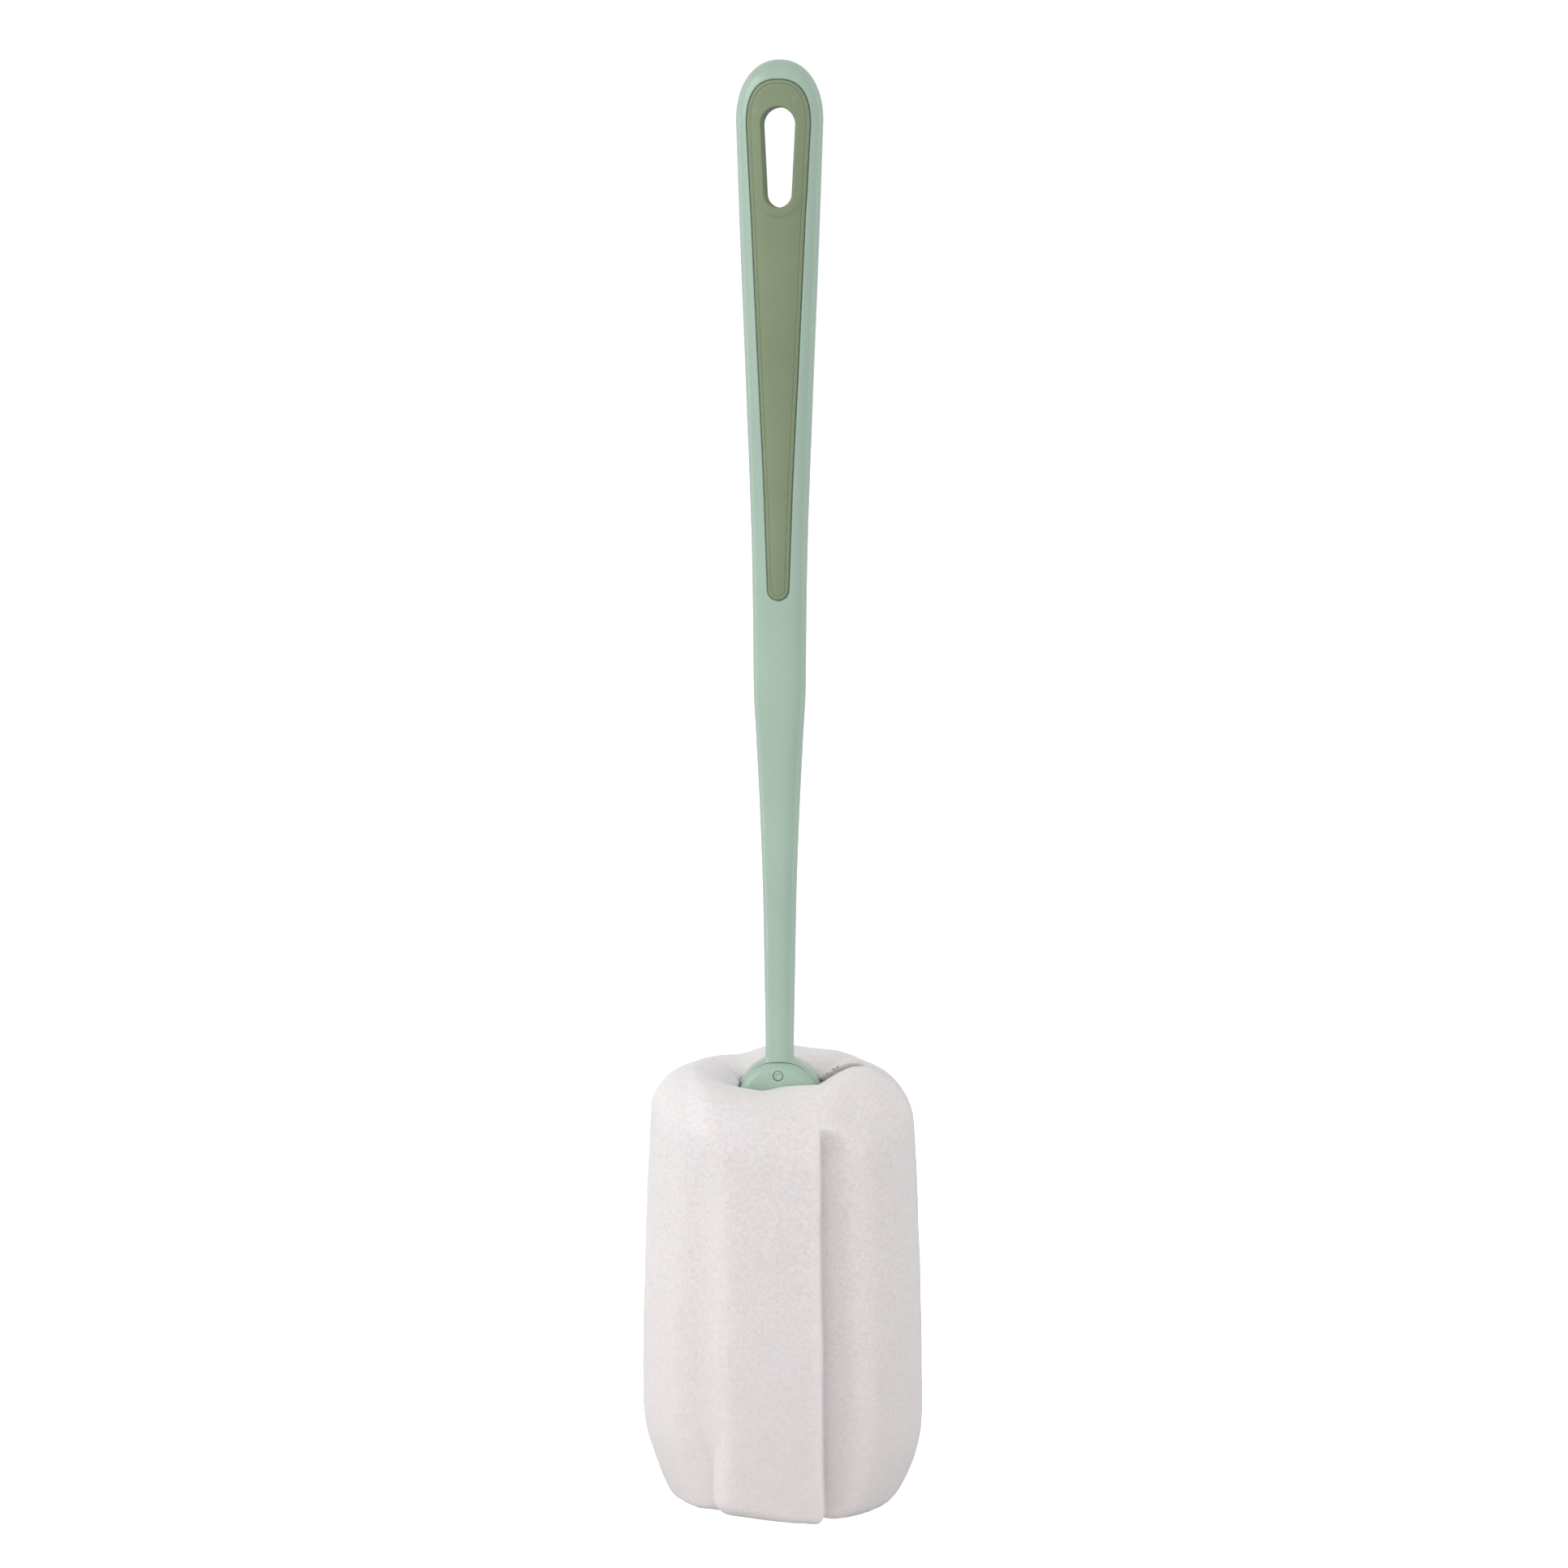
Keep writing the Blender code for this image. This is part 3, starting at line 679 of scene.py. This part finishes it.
def head_distance(x, y, z, side):
    """Rough distance to one half of the head: negative inside the foam."""
    right = smooth(x / 10.0)
    less = smooth((2.0 - x) / 4.0)
    centre = 0.55 + 0.45 * smooth((-285.0 - z) / 22.0)
    top = z - top_height(x, y, side)
    base = (-310.55 - 0.06 * x) - z
    # side lobes: a round body that draws in towards the base in a long curve
    wall = np.hypot(x - centre, y) - through(LOBE_R_Z, LOBE_R, z)
    drawn = np.maximum(-289.5 - 1.5 * np.tanh(x / 10.0) - z, 0) ** 2
    ridge = 1 - 0.8 * (y / np.maximum(np.hypot(x, y), 1.0)) ** 2
    wall = wall + (0.0128 + 0.0028 * right) * ridge * drawn
    # faces and sides of the front and rear lobes
    east = through(EDGE_Z, EDGE_X, z)
    west = -13.6 + 1.05 * smooth((-225.0 - z) / 80.0)
    lean = (east + west) / 2
    across = np.abs(x - lean) - (east - west) / 2
    out = np.abs(y) - 29.8 + 0.5 * smooth((z + 250) / 30.0) + 0.006 * (x - lean) ** 2
    # the whole outline without its notches, rounded over at the top
    hull = wall + (out - wall) * smooth((7.0 - across) / 9.0)
    cap = round_max(hull - 0.2, top, 11.7 + 4.4 * smooth((x + 12.0) / 24.0))
    # the round body is cut back by the floors of the four notches, less on the left
    shallow = smooth((z + 228.8 + 15.7 * less) / (13.0 + 11.0 * less))
    floor = 22.4 + 3.1 * less + (0.07 - 0.07 * less) * (np.abs(x - 0.3) - 13.0)
    rim = np.sqrt(np.maximum(31.5**2 - x**2, 200.0)) + 0.8
    body = wall + (hull - wall) * smooth((z + 236.0) / 12.0)
    body = round_max(body, base, 1.5 + 2.5 * right)
    body = round_max(body, np.abs(y) - floor - (rim - floor) * shallow, 1.9 + 3.1 * less)
    # the lobes have a crisp right edge and a softer left one
    lobe = round_max(across, out, np.where(x > lean, 0.7, 5.0))
    lobe = round_max(lobe, base, 3.8 - 1.7 * smooth((x + 9.0) / 16.0))
    fillet = 0.9 + 3.7 * less * (1 - smooth((-286.0 - z) / 16.0))
    both = round_max(round_min(body, lobe, fillet), cap, 0.5)
    # the joint between the halves, and the pocket for the clamp and its prongs
    open_edge = smooth((x - 4.0) / 6.0) * (1.1 if side < 0 else -0.8)
    shut = smooth((x - 14.0) / 7.0)
    joint = (1.1 + 0.4 * right + open_edge) * (1 - shut) + 0.2 * shut
    half = round_max(both, side * (seam(x) - y) + SEAM_GAP, joint)
    if side > 0:  # the rear half overhangs the crease to the right of the clamp
        lip = through(CREASE_X, CREASE_TOP, x) - 0.1
        low = through(CREASE_X, CREASE_LOW, x) - 1.2
        under = np.minimum(((lip - z) * 1.7 - y) / 1.97, z - low)
        under = np.minimum(under, np.minimum(x - 8.8, (0.3 * (21.0 - x) - y) / 1.04))
        half = round_max(half, under, 0.6)
    clamp = DISC_R + 0.06 + (RING_R - DISC_R) * smooth((y + 2.2) / 0.7)
    chord = np.sqrt(np.maximum(clamp**2 - (z - RING_Z) ** 2, 30.0))
    width = np.where(z > RING_Z + 1.5, chord, np.maximum(chord, POCKET_X))
    pocket = np.maximum(
        np.maximum(np.abs(x) - width, np.abs(y) - POCKET_Y), POCKET_FLOOR - z
    )
    return round_max(half, -pocket, 0.6)


def surface_net(low, high, step, field):
    """Closed mesh of even quads on the zero surface of a field."""
    axes = [np.arange(a, b + step, step) for a, b in zip(low, high)]
    gx, gy, gz = np.meshgrid(*axes, indexing="ij")
    f = field(gx, gy, gz)
    inside = f < 0
    n = [s - 1 for s in f.shape]

    def corner(a, d):
        return a[d[0] : d[0] + n[0], d[1] : d[1] + n[1], d[2] : d[2] + n[2]]

    corners = [(i, j, k) for i in (0, 1) for j in (0, 1) for k in (0, 1)]
    count = sum(corner(inside, c).astype(np.int8) for c in corners)
    active = (count > 0) & (count < 8)
    ids = np.full(active.shape, -1, np.int64)
    ids[active] = np.arange(active.sum())
    where = np.argwhere(active).astype(float)
    total, hits = np.zeros((len(where), 3)), np.zeros(len(where))
    for c in corners:
        for axis in range(3):
            if c[axis]:
                continue
            d = list(c)
            d[axis] = 1
            a, b = corner(f, c)[active], corner(f, d)[active]
            crossed = (a < 0) != (b < 0)
            t = np.where(crossed, a / np.where(a == b, 1, a - b), 0)
            p = np.tile(np.array(c, float), (len(where), 1))
            p[:, axis] += t
            total += p * crossed[:, None]
            hits += crossed
    points = np.array([a[0] for a in axes]) + step * (where + total / hits[:, None])
    faces = []
    for axis in range(3):
        u, v = [(1, 2), (2, 0), (0, 1)][axis]
        size = list(f.shape)
        size[axis] -= 1
        a = np.take(inside, range(0, size[axis]), axis=axis)
        b = np.take(inside, range(1, size[axis] + 1), axis=axis)
        for flip, change in ((False, a & ~b), (True, ~a & b)):
            at = np.argwhere(change)
            at = at[(at[:, u] > 0) & (at[:, v] > 0)]
            at = at[(at[:, u] < n[u]) & (at[:, v] < n[v])]
            ring = []
            for du, dv in ((-1, -1), (0, -1), (0, 0), (-1, 0)):
                c = at.copy()
                c[:, u] += du
                c[:, v] += dv
                ring.append(ids[c[:, 0], c[:, 1], c[:, 2]])
            quads = np.stack(ring, 1)
            faces.append(quads[:, ::-1] if flip else quads)
    return points, np.concatenate(faces)


def slope_of(field, p, h=0.05):
    g = []
    for axis in range(3):
        d = np.zeros(3)
        d[axis] = h
        a, b = p + d, p - d
        g.append((field(*a.T) - field(*b.T)) / (2 * h))
    return np.stack(g, 1)


def make_foam(name, side):
    def field(x, y, z):
        return head_distance(x, y, z, side)

    step = 0.48
    edge = 33.0
    low = (-edge, -edge if side < 0 else -1.0, -314.0)
    high = (edge, 1.0 if side < 0 else edge, -207.0)
    points, faces = surface_net(low, high, step, field)
    for _ in range(3):  # settle the points on the surface
        g = slope_of(field, points)
        size = np.maximum((g**2).sum(1), 0.05)
        move = g * (field(*points.T) / size)[:, None]
        far = np.linalg.norm(move, axis=1)
        move *= np.minimum(1.0, 0.3 / np.maximum(far, 1e-9))[:, None]
        points = points - move
    g = slope_of(field, points, 0.2)
    normal = g / np.maximum(np.linalg.norm(g, axis=1), 1e-9)[:, None]
    shape = 0.16 * lattice_noise(points, 13.0, 3) + 0.09 * lattice_noise(points, 5.0, 5)
    grain = 0.045 * lattice_noise(points, 1.9, 7) + 0.04 * lattice_noise(points, 1.15, 9)
    pores = np.maximum(0.0, 0.42 - cell_distance(points, 1.6, 11)) * 0.16
    off = np.abs(points[:, 1] - seam(points[:, 0]))
    outer = smooth((off - 0.3) / 1.2)  # calm on the joint face
    walls = (np.abs(points[:, 0]) < POCKET_X + 0.3) & (
        np.abs(points[:, 1]) < POCKET_Y + 0.3
    )
    calm = np.where(walls & (points[:, 2] < -219.0), 0.15, 1.0) * (0.1 + 0.9 * outer)
    points = points + normal * ((shape * outer + grain - pores) * calm)[:, None]
    ob = mesh_object(name, points, faces)
    ob.data.shade_smooth()
    print(name, "triangles", 2 * len(faces))
    return ob


# ----------------------------------------------------------------- materials
class Nodes:
    """Short ways to write a material's nodes."""

    def __init__(self, name):
        self.material = bpy.data.materials.new(name)
        self.material.use_nodes = True
        self.tree = self.material.node_tree
        self.bsdf = self.tree.nodes["Principled BSDF"]
        coords = self.tree.nodes.new("ShaderNodeTexCoord")
        self.at = coords.outputs["Object"]

    def link(self, a, b):
        self.tree.links.new(a, b)

    def noise(self, scale, detail=2.0, rough=0.5, warp=0.0, stretch=None):
        n = self.tree.nodes.new("ShaderNodeTexNoise")
        n.inputs["Scale"].default_value = scale
        n.inputs["Detail"].default_value = detail
        n.inputs["Roughness"].default_value = rough
        n.inputs["Distortion"].default_value = warp
        source = self.at
        if stretch:
            m = self.tree.nodes.new("ShaderNodeMapping")
            m.inputs["Scale"].default_value = stretch
            self.link(self.at, m.inputs["Vector"])
            source = m.outputs["Vector"]
        self.link(source, n.inputs["Vector"])
        return n.outputs["Fac"]

    def cells(self, scale, smoothness=0.0):
        n = self.tree.nodes.new("ShaderNodeTexVoronoi")
        n.inputs["Scale"].default_value = scale
        if smoothness:
            n.feature = "SMOOTH_F1"
            n.inputs["Smoothness"].default_value = smoothness
        self.link(self.at, n.inputs["Vector"])
        return n.outputs["Distance"]

    def spread(self, value, low, high, to_low=0.0, to_high=1.0):
        n = self.tree.nodes.new("ShaderNodeMapRange")
        n.inputs["From Min"].default_value = low
        n.inputs["From Max"].default_value = high
        n.inputs["To Min"].default_value = to_low
        n.inputs["To Max"].default_value = to_high
        self.link(value, n.inputs["Value"])
        return n.outputs["Result"]

    def math(self, kind, a, b):
        n = self.tree.nodes.new("ShaderNodeMath")
        n.operation = kind
        for socket, value in zip(n.inputs, (a, b)):
            if isinstance(value, (int, float)):
                socket.default_value = value
            else:
                self.link(value, socket)
        return n.outputs[0]

    def blend(self, share, a, b):
        n = self.tree.nodes.new("ShaderNodeMix")
        n.data_type = "RGBA"
        for socket, value in ((n.inputs[6], a), (n.inputs[7], b)):
            if isinstance(value, tuple):
                socket.default_value = (*value, 1.0)
            else:
                self.link(value, socket)
        self.link(share, n.inputs[0])
        return n.outputs[2]

    def bump(self, height, depth, strength=1.0, under=None):
        n = self.tree.nodes.new("ShaderNodeBump")
        n.inputs["Strength"].default_value = strength
        n.inputs["Distance"].default_value = depth
        self.link(height, n.inputs["Height"])
        if under is not None:
            self.link(under, n.inputs["Normal"])
        return n.outputs["Normal"]

    def along(self, axis):
        n = self.tree.nodes.new("ShaderNodeSeparateXYZ")
        self.link(self.at, n.inputs[0])
        return n.outputs[axis]

    def within(self, axis, a, b, c, d):
        """1 between b and c along an axis, falling to 0 at a and d."""
        place = self.along(axis)
        return self.math("MULTIPLY", self.spread(place, a, b), self.spread(place, d, c))

    def worn(self, low=0.505, high=0.56):
        """Convex edges, by how the surface bends."""
        n = self.tree.nodes.new("ShaderNodeNewGeometry")
        return self.spread(n.outputs["Pointiness"], low, high)


def mint_plastic():
    m = Nodes("mint_plastic_fine")
    broad = m.spread(m.noise(34.0, 2.0, 0.5), 0.3, 0.7)
    colour = m.blend(broad, MINT_DEEP, MINT_LIGHT)
    speck = m.spread(m.noise(2600.0, 2.0, 0.6), 0.35, 0.65, 0.0, 0.10)
    colour = m.blend(speck, colour, MINT_PALE)
    edge = m.math("MULTIPLY", m.worn(), m.spread(m.noise(420.0, 3.0), 0.3, 0.7, 0.1, 0.35))
    colour = m.blend(edge, colour, MINT_PALE)
    m.link(colour, m.bsdf.inputs["Base Color"])
    handled = m.spread(m.noise(70.0, 4.0, 0.6), 0.3, 0.7, 0.32, 0.42)
    m.link(handled, m.bsdf.inputs["Roughness"])
    normal = m.bump(m.noise(55.0, 1.0), 0.00012, 0.35)
    normal = m.bump(m.noise(3400.0, 2.0, 0.6), 0.00003, 0.45, normal)
    m.link(normal, m.bsdf.inputs["Normal"])
    m.bsdf.inputs["Specular IOR Level"].default_value = 0.75
    m.bsdf.inputs["IOR"].default_value = 1.49
    m.bsdf.inputs["Coat Weight"].default_value = 0.6
    m.bsdf.inputs["Coat Roughness"].default_value = 0.22
    m.bsdf.inputs["Sheen Weight"].default_value = 0.15
    m.bsdf.inputs["Sheen Roughness"].default_value = 0.35
    return m.material


def sage_grip():
    m = Nodes("sage_soft_grip_fine")
    broad = m.spread(m.noise(45.0, 3.0, 0.55), 0.3, 0.7)
    colour = m.blend(broad, SAGE_DEEP, SAGE_LIGHT)
    speck = m.spread(m.noise(3000.0, 3.0, 0.7), 0.3, 0.7, 0.0, 0.16)
    colour = m.blend(speck, colour, SAGE_PALE)
    edge = m.math("MULTIPLY", m.worn(), m.spread(m.noise(500.0, 3.0), 0.3, 0.7, 0.1, 0.4))
    colour = m.blend(edge, colour, SAGE_PALE)
    m.link(colour, m.bsdf.inputs["Base Color"])
    handled = m.spread(m.noise(90.0, 4.0, 0.6), 0.3, 0.7, 0.52, 0.66)
    m.link(handled, m.bsdf.inputs["Roughness"])
    normal = m.bump(m.noise(60.0, 1.0), 0.0001, 0.3)
    normal = m.bump(m.noise(2900.0, 3.0, 0.7), 0.00004, 0.7, normal)
    m.link(normal, m.bsdf.inputs["Normal"])
    m.bsdf.inputs["Specular IOR Level"].default_value = 0.4
    return m.material


def white_foam():
    m = Nodes("white_foam_fine")
    broad = m.spread(m.noise(38.0, 3.0, 0.55), 0.3, 0.7)
    colour = m.blend(broad, FOAM_WARM, FOAM_COOL)
    grain = m.spread(m.noise(1250.0, 1.5, 0.55), 0.30, 0.70, 0.0, 0.30)
    colour = m.blend(grain, colour, FOAM_PORE)
    cells = m.cells(1050.0, 0.4)
    pores = m.spread(cells, 0.10, 0.30, 1.0, 0.0)
    size = m.spread(m.noise(520.0, 2.0), 0.45, 0.70, 0.0, 0.30)
    colour = m.blend(m.math("MULTIPLY", pores, size), colour, FOAM_PORE)
    # painted shade: the crease along the joint to the right of the clamp is darkened in the colour,
    # standing in for its shadow
    crease_shade = m.math("MULTIPLY", m.within("Y", -0.0012, -0.0003, 0.0018, 0.0032), m.within("X", 0.008, 0.0095, 0.018, 0.0222))
    crease_shade = m.math("MULTIPLY", crease_shade, m.spread(m.along("Z"), -0.220, -0.218, 0.0, 0.8))
    colour = m.blend(crease_shade, colour, FOAM_CREASE_SHADE)
    # painted shade: the foam's colour darkens towards the base, standing in for the light falling off
    # lower down
    tip = m.spread(m.along("Z"), -0.255, -0.312, 0.0, 0.75)
    tip = m.math("MULTIPLY", tip, m.spread(m.noise(60.0, 3.0), 0.3, 0.7, 0.8, 1.0))
    colour = m.blend(tip, colour, FOAM_LOW_SHADE)
    m.link(colour, m.bsdf.inputs["Base Color"])
    rough = m.spread(m.noise(900.0, 2.0), 0.3, 0.7, 0.9, 1.0)
    m.link(rough, m.bsdf.inputs["Roughness"])
    normal = m.bump(m.noise(1000.0, 2.0, 0.55), 0.00022, 0.5)
    normal = m.bump(m.spread(cells, 0.05, 0.5), 0.00012, 0.5, normal)
    m.link(normal, m.bsdf.inputs["Normal"])
    m.bsdf.inputs["Specular IOR Level"].default_value = 0.15
    m.bsdf.inputs["Subsurface Weight"].default_value = 1.0
    m.bsdf.inputs["Subsurface Radius"].default_value = (1.0, 0.9, 0.85)
    m.bsdf.inputs["Subsurface Scale"].default_value = 0.004
    return m.material


MINT_DEEP = (0.338, 0.484, 0.388)
MINT_LIGHT = (0.372, 0.524, 0.422)
MINT_PALE = (0.53, 0.67, 0.57)
SAGE_DEEP = (0.212, 0.266, 0.156)
SAGE_LIGHT = (0.246, 0.304, 0.182)
SAGE_PALE = (0.38, 0.44, 0.30)
FOAM_WARM = (0.875, 0.828, 0.820)
FOAM_COOL = (0.880, 0.842, 0.855)
# painted shade for the lower end of the foam
FOAM_LOW_SHADE = (0.765, 0.712, 0.712)
FOAM_CREASE_SHADE = (0.60, 0.575, 0.59)  # painted shade in the crease beside the clamp, darkening the rear half's overhang as its shadow
FOAM_PORE = (0.62, 0.57, 0.54)


def finish_piece(ob, material, body, node):
    ob.data.materials.clear()
    ob.data.materials.append(material)
    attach(ob, body)
    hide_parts(node)


# --------------------------------------------------------------------- stage
def area_light(name, place, size, power, colour=(1, 1, 1), aim=(0, 0, -0.15)):
    data = bpy.data.lights.new(name, "AREA")
    data.shape = "RECTANGLE"
    data.size, data.size_y = size
    data.energy = power
    data.color = colour
    ob = bpy.data.objects.new(name, data)
    bpy.context.scene.collection.objects.link(ob)
    ob.location = place
    ob.visible_camera = False
    ob.rotation_mode = "QUATERNION"
    ob.rotation_quaternion = (Vector(aim) - Vector(place)).to_track_quat("-Z", "Y")
    return ob


def room_light(tree, strength):
    """Soft light from all round, with its own brightness for each side of the room."""

    def math_node(kind, a, b):
        n = tree.nodes.new("ShaderNodeMath")
        n.operation = kind
        for socket, value in zip(n.inputs, (a, b)):
            if isinstance(value, (int, float)):
                socket.default_value = value
            else:
                tree.links.new(value, socket)
        return n.outputs[0]

    coords = tree.nodes.new("ShaderNodeTexCoord")
    split = tree.nodes.new("ShaderNodeSeparateXYZ")
    tree.links.new(coords.outputs["Generated"], split.inputs[0])
    total = 0.0
    for axis, (low, high) in enumerate(ROOM):
        away = split.outputs[axis]
        for share, value in ((1.0, high), (-1.0, low)):
            part = math_node("MAXIMUM", math_node("MULTIPLY", away, share), 0.0)
            part = math_node("MULTIPLY", math_node("MULTIPLY", part, part), value)
            total = math_node("ADD", part, total)
    tree.links.new(total, strength)


def make_stage():
    bm = bmesh.new()
    bmesh.ops.create_circle(bm, cap_ends=True, segments=96, radius=14.0)
    mesh = bpy.data.meshes.new("floor")
    bm.to_mesh(mesh)
    bm.free()
    floor = bpy.data.objects.new("floor", mesh)
    floor.location = (0, 0, -0.62)
    bpy.context.scene.collection.objects.link(floor)
    mat = bpy.data.materials.new("pale_floor")
    mat.use_nodes = True
    bsdf = mat.node_tree.nodes["Principled BSDF"]
    bsdf.inputs["Base Color"].default_value = (0.9, 0.9, 0.9, 1)
    bsdf.inputs["Roughness"].default_value = 0.9
    bsdf.inputs["Emission Color"].default_value = (1, 1, 1, 1)
    bsdf.inputs["Emission Strength"].default_value = 0.62
    mesh.materials.append(mat)
    floor.visible_diffuse = False
    floor.visible_glossy = False

    world = bpy.data.worlds.new("studio")
    bpy.context.scene.world = world
    world.use_nodes = True
    tree = world.node_tree
    tree.nodes.clear()
    out = tree.nodes.new("ShaderNodeOutputWorld")
    seen = tree.nodes.new("ShaderNodeBackground")
    seen.inputs["Color"].default_value = (1, 1, 1, 1)
    seen.inputs["Strength"].default_value = 1.05
    room = tree.nodes.new("ShaderNodeBackground")
    room.inputs["Color"].default_value = (1, 1, 1, 1)
    room_light(tree, room.inputs["Strength"])
    path = tree.nodes.new("ShaderNodeLightPath")
    mix = tree.nodes.new("ShaderNodeMixShader")
    tree.links.new(path.outputs["Is Camera Ray"], mix.inputs[0])
    tree.links.new(room.outputs[0], mix.inputs[1])
    tree.links.new(seen.outputs[0], mix.inputs[2])
    tree.links.new(mix.outputs[0], out.inputs[0])
    bpy.context.scene.view_settings.view_transform = "Standard"


ROOM = ((0.74, 0.72), (1.12, 0.75), (0.10, 0.66))  # left and right, front and rear, floor and ceiling
LIGHTS = {
    "key": ((-1.15, -0.75, 0.45), (0.9, 0.9), 5.0),
    "left_strip": ((-1.25, 0.28, 0.05), (0.35, 1.3), 1.6),
    "right_strip": ((1.25, 0.28, 0.05), (0.35, 1.3), 1.2),
}
make_stage()
for name, (place, size, power) in LIGHTS.items():
    area_light(name, place, size, power)

# --------------------------------------------------------------------- build
mint, sage, foam = mint_plastic(), sage_grip(), white_foam()
finish_piece(make_handle(), mint, "handle", "handle_body")
finish_piece(make_grip(), sage, "handle", "soft_grip")
finish_piece(make_front_prong(), mint, "handle", "front_prong")
finish_piece(make_pin(), mint, "handle", "prong_pin")
for piece, side in (("foam_front", -1), ("foam_rear", 1)):
    ob = make_foam(piece, side)
    finish_piece(ob, foam, "sponge_head", piece.replace("foam", "sponge"))
